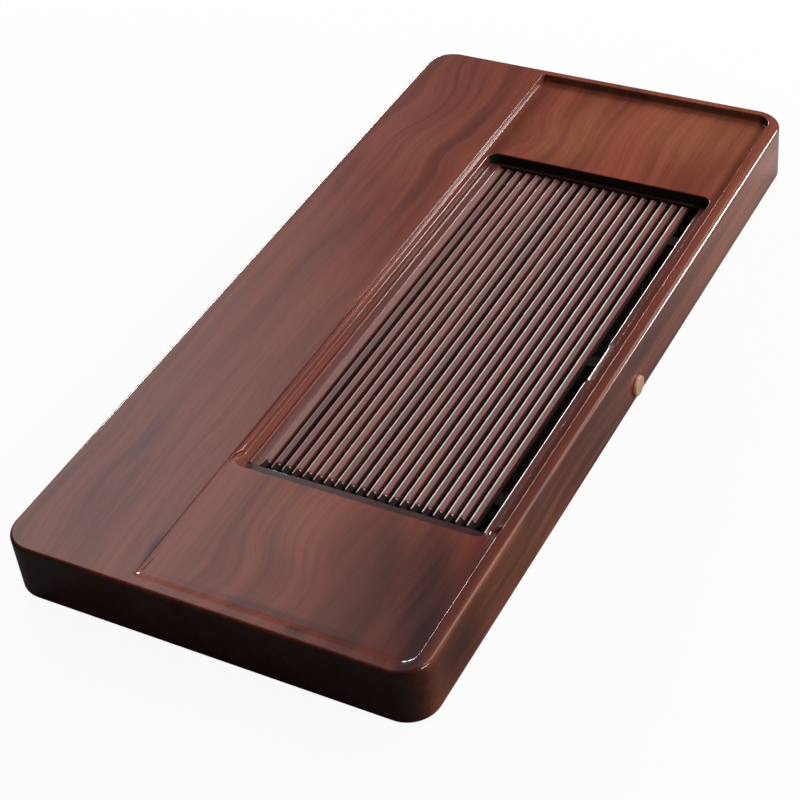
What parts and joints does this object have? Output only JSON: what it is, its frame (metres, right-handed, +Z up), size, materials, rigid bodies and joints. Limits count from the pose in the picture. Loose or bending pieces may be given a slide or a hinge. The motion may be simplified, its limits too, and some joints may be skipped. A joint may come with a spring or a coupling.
{
  "type": "tea tray",
  "caption": "Long wooden tea tray with rounded corners, a sunk wet floor, a lift-out ribbed drip grille over a sump, a side drain plug and rubber feet.",
  "frame": {"origin": "on the surface the tray stands on, under the middle of the whole object's bounding box", "axes": "+X along the board from the near end to the far end, +Y across it to the dry plank, +Z up"},
  "size_m": [0.72, 0.353, 0.054],
  "materials": {
    "walnut": "satin lacquer over figured dark wood, glossy on the rounded edges",
    "walnut_grille": "satin lacquer, glossy on the edges",
    "beech": "smooth, turned, bare",
    "rubber": "matte black",
    "steel": "zinc-plated"
  },
  "bodies": {
    "tray": {"wet_plank": "walnut", "dry_plank": "walnut", "foot_near_right": "rubber", "foot_near_left": "rubber", "foot_far_right": "rubber", "foot_far_left": "rubber", "foot_screws": "steel"},
    "grille": {"rail_near": "walnut_grille", "rail_far": "walnut_grille", "rail_left": "walnut_grille", "rail_right": "walnut_grille", "slat_01": "walnut_grille", "slat_02": "walnut_grille", "slat_03": "walnut_grille", "slat_04": "walnut_grille", "slat_05": "walnut_grille", "slat_06": "walnut_grille", "slat_07": "walnut_grille", "slat_08": "walnut_grille", "slat_09": "walnut_grille", "slat_10": "walnut_grille", "slat_11": "walnut_grille", "slat_12": "walnut_grille", "slat_13": "walnut_grille", "slat_14": "walnut_grille", "slat_15": "walnut_grille", "slat_16": "walnut_grille", "slat_17": "walnut_grille", "slat_18": "walnut_grille", "slat_19": "walnut_grille", "slat_20": "walnut_grille", "bearer_near": "walnut_grille", "bearer_mid": "walnut_grille", "bearer_far": "walnut_grille"},
    "plug": {"drain_plug": "beech"}
  },
  "joints": [
    {"name": "grille_lift", "type": "slide", "parent": "tray", "child": "grille", "axis": [0, 0, 1], "range_m": [0, 0.06]},
    {"name": "plug_pull", "type": "slide", "parent": "tray", "child": "plug", "axis": [0, -1, 0], "range_m": [0, 0.035]}
  ]
}
